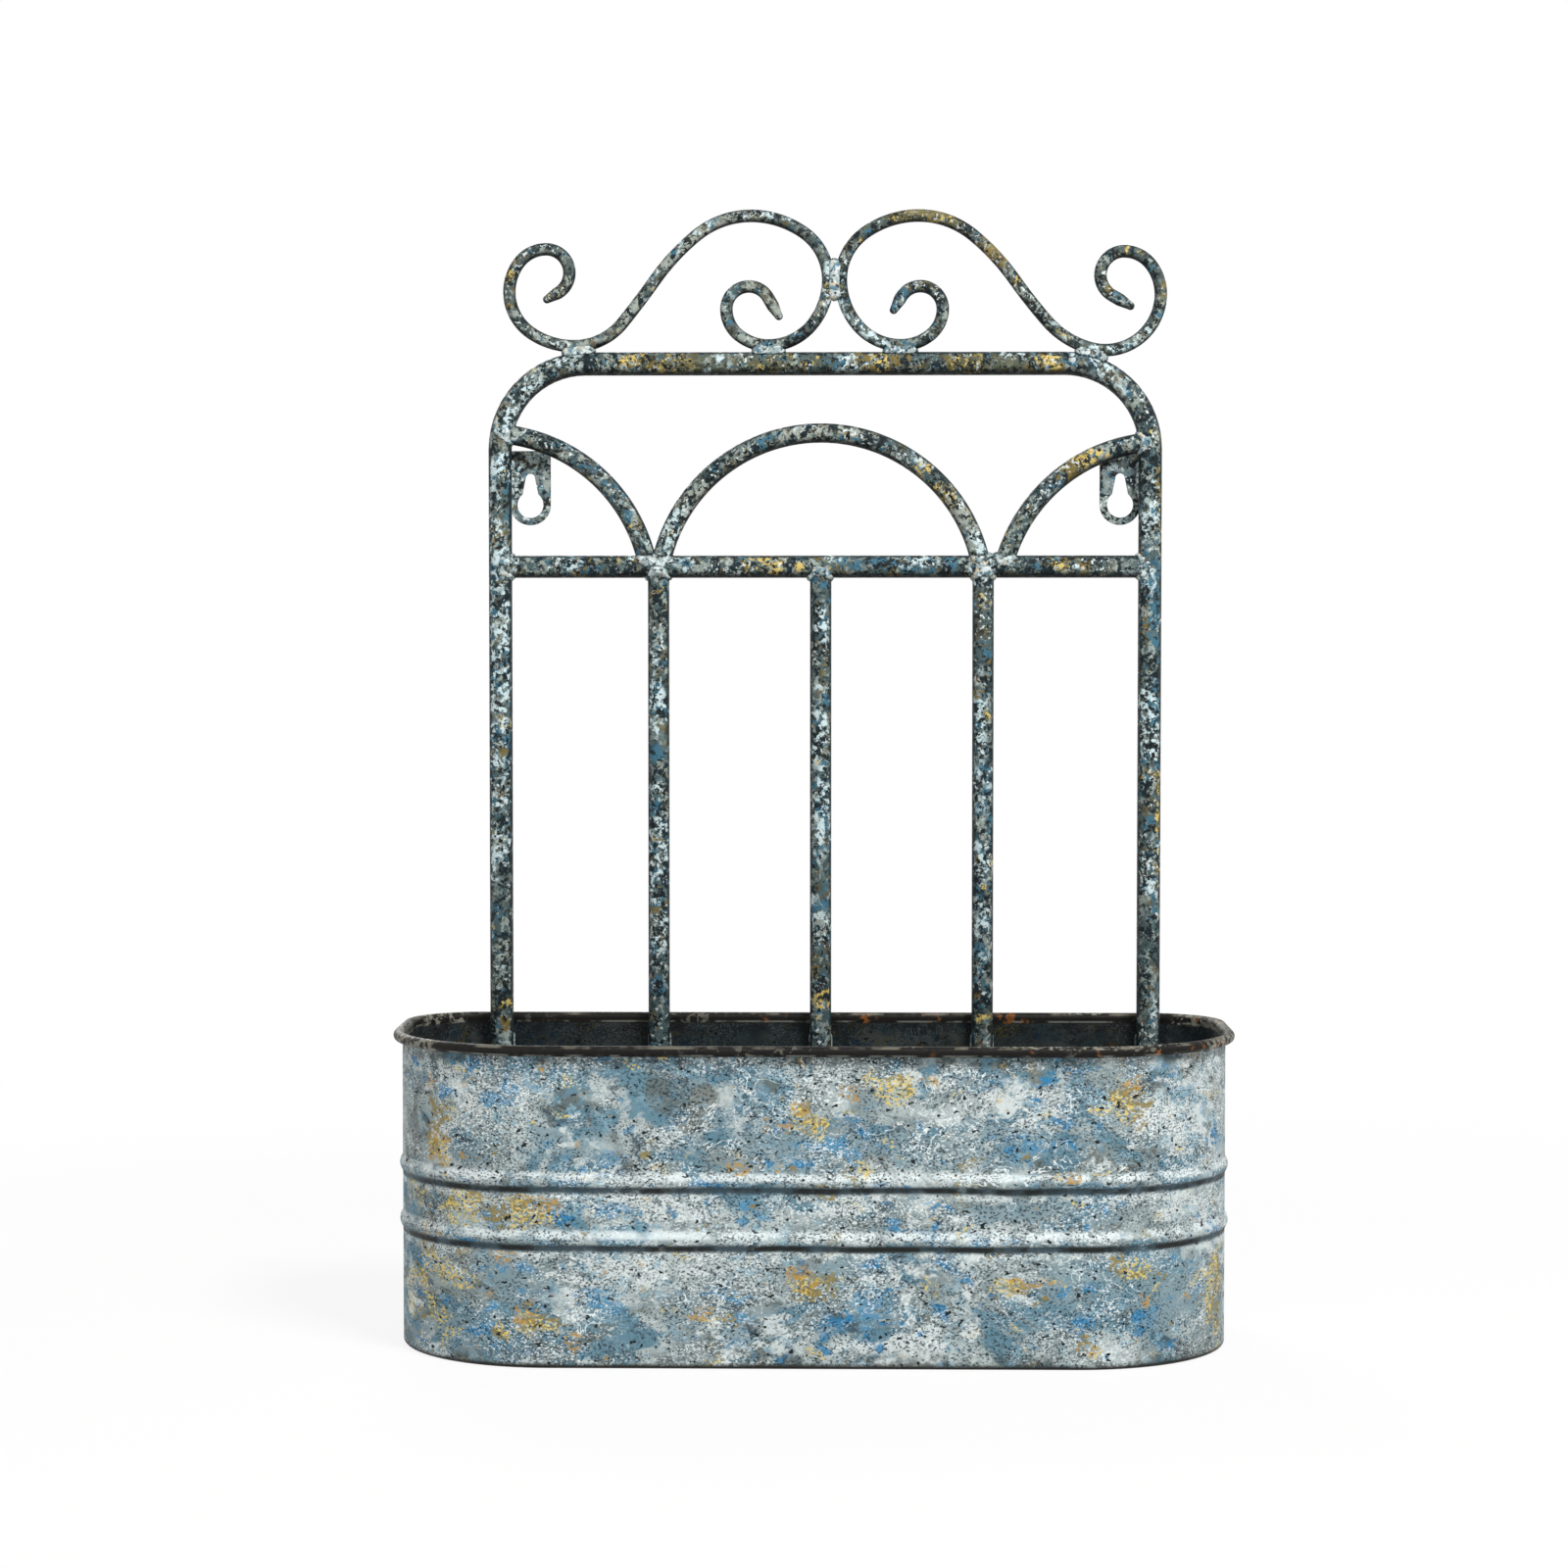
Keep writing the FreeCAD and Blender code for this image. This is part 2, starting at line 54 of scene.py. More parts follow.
def toLinear(hexColour):
    digits = hexColour.lstrip("#")
    linear = []
    for start in (0, 2, 4):
        value = int(digits[start:start + 2], 16) / 255
        # the sRGB curve
        linear.append(value / 12.92 if value <= 0.04045 else ((value + 0.055) / 1.055) ** 2.4)
    return linear + [1.0]


def metres(mm):
    return mm / mmPerMetre


def perMm(size):
    return mmPerMetre / size  # texture scale for a feature of this many millimetres


def addNode(tree, kind, inputs=None, **settings):
    node = tree.nodes.new(kind)
    for name, value in settings.items():
        setattr(node, name, value)
    for name, value in (inputs or {}).items():
        if isinstance(value, bpy.types.NodeSocket):
            tree.links.new(value, node.inputs[name])
        else:
            node.inputs[name].default_value = value
    return node


def newMaterial(name):
    material = bpy.data.materials.new(name)
    material.use_nodes = True
    material.node_tree.nodes.clear()
    return material, material.node_tree


# brushed and rubbed paint: how every coat breaks up, unless it says otherwise

coatHabits = {
    "detail": 4.0,
    "roughness": 0.6,
    "curl": 0.3,
    "patchDetail": 3.0,
    "patchCurl": 0.6,
    "patchSeedStep": 0.5,
    "noiseMiddle": 0.5,
    "spotCore": 0.3,  # part of a spot's reach that is covered in full
    "bandCore": 0.25,  # part of a band's half width that is covered in full
    "bandDetail": 5.0,
}


def markPlaces(tree, place, spots):
    # 1 in the core of each oval spot, fading to 0 at its edge
    # a spot is x, z, half width and half height in mm
    total = 0.0
    for x, z, halfWidth, halfHeight in spots:
        moved = addNode(tree, "ShaderNodeVectorMath", {0: place, 1: (metres(x), 0.0, metres(z))},
                        operation="SUBTRACT")
        oval = addNode(tree, "ShaderNodeVectorMath", {
            0: moved.outputs[0], 1: (perMm(halfWidth), 0.0, perMm(halfHeight))}, operation="MULTIPLY")
        away = addNode(tree, "ShaderNodeVectorMath", {0: oval.outputs[0]}, operation="LENGTH")
        near = addNode(tree, "ShaderNodeMapRange", {
            "Value": away.outputs["Value"], "From Min": 1.0, "From Max": coatHabits["spotCore"]})
        nearest = addNode(tree, "ShaderNodeMath", {0: near.outputs[0], 1: total}, operation="MAXIMUM")
        total = nearest.outputs[0]
    return total


def layCoats(tree, place, colour, coats, stretch=(1.0, 1.0, 1.0)):
    # each coat breaks up in its own grain, may keep to larger patches, and comes out more at its own spots
    drawn = addNode(tree, "ShaderNodeVectorMath", {0: place, 1: stretch}, operation="MULTIPLY").outputs[0]
    for coat in coats:
        grain = addNode(tree, "ShaderNodeTexNoise", {
            "Vector": drawn, "W": coat["seed"], "Scale": perMm(coat["grainMm"]),
            "Detail": coat.get("detail", coatHabits["detail"]), "Roughness": coatHabits["roughness"],
            "Distortion": coat.get("curl", coatHabits["curl"])}, noise_dimensions="4D").outputs[0]
        if coat.get("lines"):  # thin lines run where the grain crosses its middle
            offMiddle = addNode(tree, "ShaderNodeMath", {0: grain, 1: coatHabits["noiseMiddle"]},
                                operation="SUBTRACT")
            fromMiddle = addNode(tree, "ShaderNodeMath", {0: offMiddle.outputs[0]}, operation="ABSOLUTE")
            grain = fromMiddle.outputs[0]
        levels = [[grain, coat["edge"]]]
        if "patchMm" in coat:
            patch = addNode(tree, "ShaderNodeTexNoise", {
                "Vector": drawn, "W": coat["seed"] + coatHabits["patchSeedStep"],
                "Scale": perMm(coat["patchMm"]), "Detail": coatHabits["patchDetail"],
                "Distortion": coatHabits["patchCurl"]}, noise_dimensions="4D").outputs[0]
            levels.append([patch, coat["patchEdge"]])
        if "spots" in coat:
            levels[-1][0] = addNode(tree, "ShaderNodeMath", {
                0: markPlaces(tree, place, coat["spots"]), 1: coat["spotLift"], 2: levels[-1][0]},
                operation="MULTIPLY_ADD").outputs[0]
        share = coat.get("strength", 1.0)
        for level, (low, high) in levels:
            share = addNode(tree, "ShaderNodeMapRange", {
                "Value": level, "From Min": low, "From Max": high, "To Max": share}).outputs[0]
        colour = addNode(tree, "ShaderNodeMix", {0: share, 6: colour, 7: toLinear(coat["hex"])},
                         data_type="RGBA").outputs[2]
    return colour


def layBands(tree, place, height, colour, bands):
    # level strips at their own heights, each broken up by its own noise
    for band in bands:
        low, high = band["breakEdge"]
        away = addNode(tree, "ShaderNodeMath", {0: height, 1: metres(band["zMm"])}, operation="SUBTRACT")
        reach = addNode(tree, "ShaderNodeMath", {0: away.outputs[0]}, operation="ABSOLUTE")
        near = addNode(tree, "ShaderNodeMapRange", {
            "Value": reach.outputs[0], "From Min": metres(band["halfMm"]),
            "From Max": metres(band["halfMm"] * coatHabits["bandCore"])}, interpolation_type="SMOOTHSTEP")
        breaks = addNode(tree, "ShaderNodeTexNoise", {
            "Vector": place, "W": band["seed"], "Scale": perMm(band["breakMm"]),
            "Detail": coatHabits["bandDetail"]}, noise_dimensions="4D")
        kept = addNode(tree, "ShaderNodeMapRange", {
            "Value": breaks.outputs[0], "From Min": low, "From Max": high, "To Max": band["strength"]},
            interpolation_type="SMOOTHSTEP")
        share = addNode(tree, "ShaderNodeMath", {0: near.outputs[0], 1: kept.outputs[0]},
                        operation="MULTIPLY")
        colour = addNode(tree, "ShaderNodeMix", {0: share.outputs[0], 6: colour, 7: toLinear(band["hex"])},
                         data_type="RGBA").outputs[2]
    return colour


def finishSkin(tree, place, colour, skin):
    # the paint's flakes stand up a little and shine unevenly
    low, high = skin["flakeRange"]
    smooth, rough = skin["roughness"]
    flakes = addNode(tree, "ShaderNodeTexNoise", {
        "Vector": place, "Scale": perMm(skin["flakeMm"]), "Detail": skin["flakeDetail"]})
    relief = addNode(tree, "ShaderNodeBump", {
        "Strength": skin["reliefShare"], "Distance": metres(skin["reliefMm"]), "Height": flakes.outputs[0]})
    gloss = addNode(tree, "ShaderNodeMapRange", {
        "Value": flakes.outputs[0], "From Min": low, "From Max": high, "To Min": smooth, "To Max": rough})
    surface = addNode(tree, "ShaderNodeBsdfPrincipled", {
        "Base Color": colour, "Roughness": gloss.outputs[0], "Normal": relief.outputs[0],
        "Metallic": skin["metallic"], "IOR": skin["ior"], "Specular IOR Level": skin["specular"]})
    addNode(tree, "ShaderNodeOutputMaterial", {"Surface": surface.outputs[0]})


# trough: brushed-on and rubbed-back paint over galvanised sheet, so grey, steel blue and ochre lie side by
# side, with salt-and-pepper specks, beads pale on top as rubbed wear and painted highlight, painted
# reflection below them, and painted shade with brown grime in every crease and under the rim

blueZones = [(-160, 110, 34, 16), (80, 110, 90, 15), (116, 76, 46, 11), (120, 30, 40, 18), (-166, 20, 30, 20)]
paleZones = [(180, 124, 28, 34), (178, 77, 26, 12), (-174, 136, 26, 18), (-115, 113, 16, 16),
             (48, 140, 28, 12), (100, 126, 30, 18), (-92, 46, 60, 12), (-28, 16, 42, 18), (-66, 76, 32, 11),
             (20, 76, 24, 11)]
goldZones = [(-156, 76, 50, 13), (-184, 32, 24, 30), (-182, 114, 14, 34), (-142, 22, 20, 10),
             (-2, 118, 12, 16), (40, 134, 22, 14), (100, 38, 26, 11), (150, 48, 26, 8), (150, 130, 20, 16),
             (134, 10, 12, 9), (0, 40, 20, 12), (-46, 24, 14, 8), (196, 30, 8, 40)]
rustZones = [(-181, 105, 9, 14), (-4, 125, 8, 8), (-132, 81, 14, 8), (-185, 63, 14, 5), (-137, 28, 10, 7),
             (-55, 27, 11, 7), (-114, 13, 9, 7), (-2, 46, 12, 10), (-148, 54, 10, 5), (-34, 97, 10, 5),
             (155, 136, 10, 8), (104, 42, 14, 6), (133, 11, 9, 6), (163, 33, 12, 6), (20, 133, 10, 8),
             (54, 139, 10, 6)]
azureZones = [(-27, 76, 16, 9), (12, 107, 34, 9), (30, 30, 22, 14), (-40, 32, 24, 10), (-100, 32, 24, 10),
              (70, 62, 40, 9), (120, 112, 40, 9), (-90, 76, 26, 8), (-150, 130, 22, 8)]
smoothZones = [(84, 108, 84, 15), (-168, 106, 26, 14), (-120, 108, 30, 16), (108, 76, 46, 9),
               (128, 40, 34, 16), (176, 34, 30, 26), (-172, 14, 26, 14), (20, 52, 30, 9), (-146, 44, 22, 14),
               (-20, 112, 34, 16)]

troughPaint = {
    "ground": "#818f91",
    "stretch": (1.0, 1.0, 1.4),
    "coats": [
        {"hex": "#a9b4b4", "seed": 1.0, "grainMm": 44, "detail": 4.0, "curl": 0.8, "edge": (0.47, 0.55)},
        {"hex": "#567c8d", "seed": 2.0, "grainMm": 50, "detail": 6.0, "curl": 1.2, "edge": (0.52, 0.56),
         "spots": blueZones, "spotLift": 0.07, "strength": 0.92},
        {"hex": "#60645d", "seed": 3.0, "grainMm": 34, "detail": 5.0, "curl": 1.0, "edge": (0.57, 0.62),
         "strength": 0.75},
        {"hex": "#c8d0cf", "seed": 14.0, "grainMm": 30, "detail": 6.0, "curl": 0.8, "edge": (0.54, 0.58),
         "patchMm": 90, "patchEdge": (0.44, 0.54)},
        {"hex": "#c9d1d0", "seed": 19.0, "grainMm": 9, "detail": 6.0, "curl": 0.8, "edge": (0.64, 0.70),
         "spots": paleZones, "spotLift": 0.22, "strength": 0.9},
        {"hex": "#364852", "seed": 15.0, "grainMm": 22, "detail": 6.0, "curl": 0.6, "edge": (0.59, 0.64),
         "strength": 0.75},
        {"hex": "#84a6b4", "seed": 18.0, "grainMm": 7, "detail": 5.0, "curl": 0.6, "edge": (0.54, 0.58),
         "patchMm": 45, "patchEdge": (0.46, 0.54), "strength": 0.8},
        {"hex": "#7a9199", "seed": 16.0, "grainMm": 24, "detail": 5.0, "curl": 1.0, "edge": (0.60, 0.64),
         "spots": smoothZones, "spotLift": 0.2, "strength": 0.85},
        {"hex": "#2c7ca9", "seed": 4.0, "grainMm": 13, "detail": 3.0, "curl": 0.5, "edge": (0.58, 0.63),
         "patchMm": 70, "patchEdge": (0.44, 0.52), "strength": 0.9},
        {"hex": "#4a87ab", "seed": 20.0, "grainMm": 11, "detail": 5.0, "curl": 0.8, "edge": (0.62, 0.67),
         "spots": azureZones, "spotLift": 0.16, "strength": 0.8},
    ],
    "sway": {"reachMm": 1.2, "waveMm": 55, "detail": 2.0},  # bands and creases waver along their length
    "bands": [
        # painted highlight on each bead top, which is also rubbed wear there
        {"hex": "#d8e1e1", "zMm": 92.8, "halfMm": 3.2, "seed": 21.0,
         "breakMm": 9, "breakEdge": (0.34, 0.54), "strength": 0.8},
        {"hex": "#d8e1e1", "zMm": 64.8, "halfMm": 3.2, "seed": 22.0,
         "breakMm": 9, "breakEdge": (0.34, 0.54), "strength": 0.8},
        # painted reflection: a pale strip just below each bead's crease
        {"hex": "#c9d3d2", "zMm": 82.8, "halfMm": 2.4, "seed": 23.0,
         "breakMm": 9, "breakEdge": (0.44, 0.58), "strength": 0.8},
        {"hex": "#c9d3d2", "zMm": 54.8, "halfMm": 2.4, "seed": 24.0,
         "breakMm": 9, "breakEdge": (0.44, 0.58), "strength": 0.8},
        {"hex": "#474f4d", "zMm": 0.0, "halfMm": 12.0, "seed": 27.0,
         "breakMm": 6, "breakEdge": (0.44, 0.62), "strength": 0.8},
        # painted shade under the rim roll
        {"hex": "#3a4142", "zMm": 150.0, "halfMm": 7.0, "seed": 29.0,
         "breakMm": 7, "breakEdge": (0.40, 0.60), "strength": 0.75},
    ],
    "specks": [
        {"hex": "#e1e8e8", "seed": 5.0, "grainMm": 1.3, "detail": 2.0, "edge": (0.54, 0.58),
         "patchMm": 34, "patchEdge": (0.44, 0.56), "strength": 0.8},
        {"hex": "#28353c", "seed": 6.0, "grainMm": 1.2, "detail": 2.0, "edge": (0.53, 0.57),
         "patchMm": 26, "patchEdge": (0.36, 0.50), "strength": 0.85},
        {"hex": "#e8efee", "seed": 17.0, "grainMm": 20, "detail": 3.0, "curl": 1.4, "lines": True,
         "edge": (0.010, 0.004), "patchMm": 30, "patchEdge": (0.54, 0.58), "strength": 0.8},
        {"hex": "#86763c", "seed": 7.0, "grainMm": 3.0, "detail": 3.0, "edge": (0.47, 0.54),
         "patchMm": 20, "patchEdge": (0.64, 0.69), "spots": goldZones, "spotLift": 0.19, "strength": 0.85},
        {"hex": "#d2bd70", "seed": 8.0, "grainMm": 1.7, "detail": 2.0, "edge": (0.52, 0.57),
         "patchMm": 18, "patchEdge": (0.63, 0.68), "spots": goldZones, "spotLift": 0.18},
        {"hex": "#b18a3c", "seed": 10.0, "grainMm": 2.4, "detail": 3.0, "edge": (0.49, 0.54),
         "patchMm": 14, "patchEdge": (0.66, 0.71), "spots": rustZones, "spotLift": 0.24, "strength": 0.75},
        {"hex": "#161d20", "seed": 9.0, "grainMm": 2.8, "detail": 1.0, "edge": (0.66, 0.69)},
    ],
    "creaseShadeAndGrime": [
        # painted shade with dark grime in the crease under each bead
        {"hex": "#34444c", "zMm": 86.4, "halfMm": 2.9, "seed": 25.0,
         "breakMm": 11, "breakEdge": (0.22, 0.42), "strength": 0.95},
        {"hex": "#34444c", "zMm": 58.4, "halfMm": 2.9, "seed": 26.0,
         "breakMm": 11, "breakEdge": (0.22, 0.42), "strength": 0.95},
        {"hex": "#15140f", "zMm": 86.2, "halfMm": 2.2, "seed": 37.0,
         "breakMm": 16, "breakEdge": (0.43, 0.58), "strength": 0.9},
        {"hex": "#15140f", "zMm": 58.2, "halfMm": 2.2, "seed": 38.0,
         "breakMm": 16, "breakEdge": (0.40, 0.55), "strength": 0.9},
        # dark line at the bottom seam: painted shade and rust
        {"hex": "#1f1e19", "zMm": 0.0, "halfMm": 3.6, "seed": 28.0,
         "breakMm": 12, "breakEdge": (0.10, 0.30), "strength": 1.0},
    ],
    "insideDirt": "#4a4e4d",
    "rim": {"hex": "#100e0a", "startMm": 150.3, "fullMm": 151.0},
    "rimCoats": [
        {"hex": "#0a0907", "seed": 31.0, "grainMm": 7.0, "detail": 5.0, "edge": (0.48, 0.55)},
        {"hex": "#78756a", "seed": 32.0, "grainMm": 4.0, "detail": 5.0, "edge": (0.56, 0.60),
         "patchMm": 70, "patchEdge": (0.54, 0.66), "strength": 0.7},
        {"hex": "#76481f", "seed": 33.0, "grainMm": 4.0, "edge": (0.54, 0.60),
         "patchMm": 26, "patchEdge": (0.60, 0.66), "spots": [(60, 153, 8, 8), (170, 154, 8, 8)],
         "spotLift": 0.15},
        {"hex": "#a09f92", "seed": 36.0, "grainMm": 3.0, "detail": 4.0, "edge": (0.48, 0.54),
         "patchMm": 30, "patchEdge": (0.64, 0.72), "spotLift": 0.25, "strength": 0.6,
         # the long thin spot along the top of the roll at the right is a painted highlight; the spots at both
         # ends are paler paint
         "spots": [(-198, 153, 20, 20), (198, 153, 22, 20), (130, 156, 90, 1.6)]},
    ],
    "rimRubsAndHighlights": [
        # pale lines along the top and lower edge of the roll: rubbed wear and painted highlight
        {"hex": "#8f8b7b", "zMm": 155.3, "halfMm": 0.9, "seed": 34.0,
         "breakMm": 14, "breakEdge": (0.50, 0.62), "strength": 0.5},
        {"hex": "#9ea298", "zMm": 151.5, "halfMm": 0.7, "seed": 35.0,
         "breakMm": 10, "breakEdge": (0.46, 0.58), "strength": 0.4},
    ],
    "skin": {"flakeMm": 2.0, "flakeDetail": 4.0, "flakeRange": (0.35, 0.65), "reliefMm": 0.3,
             "reliefShare": 0.35, "roughness": (0.45, 0.7), "metallic": 0.1, "ior": 1.5, "specular": 0.2},
}


def paintTrough(look):
    material, tree = newMaterial("distressedTroughPaint")
    place = addNode(tree, "ShaderNodeTexCoord").outputs["Object"]
    facing = addNode(tree, "ShaderNodeNewGeometry").outputs["True Normal"]
    colour = layCoats(tree, place, toLinear(look["ground"]), look["coats"], look["stretch"])

    height = addNode(tree, "ShaderNodeSeparateXYZ", {0: place}).outputs["Z"]
    sway = look["sway"]
    swayNoise = addNode(tree, "ShaderNodeTexNoise", {
        "Vector": place, "Scale": perMm(sway["waveMm"]), "Detail": sway["detail"]})
    swayMetres = addNode(tree, "ShaderNodeMath", {
        0: swayNoise.outputs[0], 1: 2 * metres(sway["reachMm"]), 2: -metres(sway["reachMm"])},
        operation="MULTIPLY_ADD")
    handHeight = addNode(tree, "ShaderNodeMath", {0: height, 1: swayMetres.outputs[0]})
    colour = layBands(tree, place, handHeight.outputs[0], colour, look["bands"])
    colour = layCoats(tree, place, colour, look["specks"], look["stretch"])
    colour = layBands(tree, place, handHeight.outputs[0], colour, look["creaseShadeAndGrime"])

    # the inside keeps the same paint, darkened: there the face looks back towards the middle
    level = addNode(tree, "ShaderNodeVectorMath", {0: place, 1: (1.0, 1.0, 0.0)}, operation="MULTIPLY")
    outward = addNode(tree, "ShaderNodeVectorMath", {0: level.outputs[0], 1: facing}, operation="DOT_PRODUCT")
    inside = addNode(tree, "ShaderNodeMath", {0: outward.outputs["Value"], 1: 0.0}, operation="LESS_THAN")
    darkenedInside = addNode(tree, "ShaderNodeMix", {0: 1.0, 6: colour, 7: toLinear(look["insideDirt"])},
                    data_type="RGBA", blend_type="MULTIPLY").outputs[2]
    colour = addNode(tree, "ShaderNodeMix", {0: inside.outputs[0], 6: colour, 7: darkenedInside},
                     data_type="RGBA").outputs[2]

    rim = look["rim"]
    rimColour = layCoats(tree, place, toLinear(rim["hex"]), look["rimCoats"])
    rimColour = layBands(tree, place, height, rimColour, look["rimRubsAndHighlights"])
    onRim = addNode(tree, "ShaderNodeMapRange", {
        "Value": height, "From Min": metres(rim["startMm"]), "From Max": metres(rim["fullMm"])})
    colour = addNode(tree, "ShaderNodeMix", {0: onRim.outputs[0], 6: colour, 7: rimColour},
                     data_type="RGBA").outputs[2]
    finishSkin(tree, place, colour, look["skin"])
    return material


# bars: dark paint flaking in layers to steel blue, grey and near white, with gold ochre showing through in
# places and as painted highlight on some edges, painted shade in dark flakes on the sides, and painted shade
# with black grime underneath

goldSpots = [(-80, 491, 30, 10), (-8, 491, 18, 10), (30, 491, 14, 10), (78, 491, 18, 10), (120, 491, 14, 10),
             (180, 425, 7, 66), (56, 568, 40, 14), (90, 540, 16, 20), (-160, 540, 8, 30), (-140, 562, 14, 10),
             (55, 440, 24, 30), (130, 440, 30, 14), (178, 260, 7, 50), (-20, 387, 22, 8), (120, 387, 20, 8),
             (165, 555, 14, 10)]
paleSpots = [(-163, 340, 14, 190), (170, 300, 10, 130), (-140, 475, 40, 26), (150, 478, 30, 20),
             (-82, 250, 10, 110), (3, 250, 10, 110), (86, 250, 10, 110), (-80, 394, 24, 22),
             (88, 394, 24, 22), (-162, 388, 14, 16), (-130, 494, 24, 12), (140, 494, 24, 12),
             (10, 534, 9, 20)]
blueSpots = [(-163, 330, 14, 180), (176, 330, 14, 180), (-82, 250, 10, 120), (3, 250, 10, 120),
             (86, 250, 10, 120), (-120, 388, 36, 10), (60, 388, 50, 10), (-20, 491, 50, 10),
             (120, 491, 40, 10), (-100, 440, 30, 24), (44, 522, 24, 26)]
greySpots = [(5, 462, 60, 26), (-60, 412, 22, 26), (70, 412, 22, 26), (-60, 556, 50, 22), (-110, 520, 36, 24),
             (-20, 530, 20, 30)]
darkSpots = [(-90, 491, 60, 12), (10, 491, 70, 12), (100, 491, 60, 12), (60, 566, 50, 18), (172, 430, 10, 50),
             (120, 388, 40, 8)]
oliveSpots = [(58, 568, 46, 14), (-40, 491, 70, 9), (90, 491, 40, 9)]
rubbedAndLitSpots = [(181, 425, 6, 70), (56, 571, 44, 11), (92, 552, 14, 16), (-163, 540, 6, 30), (182, 530, 6, 20)]

barPaint = {
    "ground": "#46585a",
    "coats": [
        {"hex": "#96a099", "seed": 42.0, "grainMm": 5.0, "detail": 5.0, "edge": (0.49, 0.53),
         "patchMm": 26, "patchEdge": (0.38, 0.50), "strength": 0.9},
        {"hex": "#9ca298", "seed": 39.0, "grainMm": 4.0, "detail": 5.0, "edge": (0.60, 0.65),
         "spots": greySpots, "spotLift": 0.2, "strength": 0.9},
        {"hex": "#3f6a7d", "seed": 41.0, "grainMm": 8.0, "detail": 5.0, "edge": (0.57, 0.60),
         "spots": blueSpots, "spotLift": 0.08},
        {"hex": "#5f5439", "seed": 40.0, "grainMm": 6.0, "detail": 5.0, "edge": (0.56, 0.60),
         "strength": 0.75},
        {"hex": "#16242a", "seed": 43.0, "grainMm": 5.0, "detail": 5.0, "edge": (0.51, 0.54),
         "patchMm": 24, "patchEdge": (0.45, 0.53), "spots": darkSpots, "spotLift": 0.12},
        {"hex": "#c3d6d9", "seed": 44.0, "grainMm": 3.4, "detail": 4.0, "edge": (0.50, 0.54),
         "patchMm": 26, "patchEdge": (0.56, 0.62), "spots": paleSpots, "spotLift": 0.16},
        {"hex": "#74663a", "seed": 45.0, "grainMm": 4.4, "detail": 4.0, "edge": (0.48, 0.53),
         "patchMm": 16, "patchEdge": (0.61, 0.66), "spots": goldSpots, "spotLift": 0.16},
        {"hex": "#cdb66a", "seed": 46.0, "grainMm": 3.0, "detail": 3.0, "edge": (0.50, 0.55),
         "patchMm": 15, "patchEdge": (0.63, 0.68), "spots": goldSpots, "spotLift": 0.17},
        {"hex": "#57573f", "seed": 56.0, "grainMm": 4.0, "detail": 4.0, "edge": (0.62, 0.66),
         "spots": oliveSpots, "spotLift": 0.2, "strength": 0.8},
        {"hex": "#dbe4e3", "seed": 48.0, "grainMm": 2.1, "detail": 2.0, "edge": (0.58, 0.62),
         "patchMm": 18, "patchEdge": (0.46, 0.56), "strength": 0.85},
        {"hex": "#0f1618", "seed": 49.0, "grainMm": 2.2, "detail": 2.0, "edge": (0.53, 0.57),
         "patchMm": 14, "patchEdge": (0.40, 0.50), "strength": 0.95},
        {"hex": "#0b0f0e", "seed": 47.0, "grainMm": 2.6, "detail": 2.0, "edge": (0.62, 0.65)},
    ],
    "side": {"hex": "#1a2527", "turn": (0.88, 0.42), "seed": 55.0, "grainMm": 4.0, "detail": 4.0,
             "lift": 0.31, "edge": (0.69, 0.77)},
    "sideShare": 0.95,
    "under": {"hex": "#0c0e0c", "turn": (-0.2, -0.85)},
    "underShare": 0.85,
    "rubsAndHighlights": [
        {"hex": "#97844a", "seed": 50.0, "grainMm": 3.0, "detail": 4.0, "edge": (0.46, 0.52),
         "patchMm": 14, "patchEdge": (0.70, 0.76), "spots": rubbedAndLitSpots, "spotLift": 0.3, "strength": 0.5},
    ],
    "skin": {"flakeMm": 2.6, "flakeDetail": 4.0, "flakeRange": (0.35, 0.65), "reliefMm": 0.6,
             "reliefShare": 0.6, "roughness": (0.38, 0.68), "metallic": 0.0, "ior": 1.5, "specular": 0.15},
}

scrollPaint = dict(barPaint, ground="#4c5856")

tabPaint = dict(barPaint, ground="#66777b", underShare=0.4)

# weld metal stands proud, so it is rubbed to pale grey and cream, and its sides and underside get less
# painted shade
weldPaint = dict(barPaint, ground="#98a6a5", underShare=0.3, sideShare=0.35, coats=[
    {"hex": "#ccd8d8", "seed": 51.0, "grainMm": 3.4, "detail": 5.0, "edge": (0.48, 0.52)},
    {"hex": "#54798b", "seed": 52.0, "grainMm": 4.0, "detail": 5.0, "edge": (0.53, 0.57), "strength": 0.9},
    {"hex": "#cbb89a", "seed": 53.0, "grainMm": 4.0, "detail": 5.0, "edge": (0.58, 0.62), "strength": 0.85},
    {"hex": "#1a2427", "seed": 54.0, "grainMm": 2.4, "detail": 3.0, "edge": (0.54, 0.58), "strength": 0.9},
])


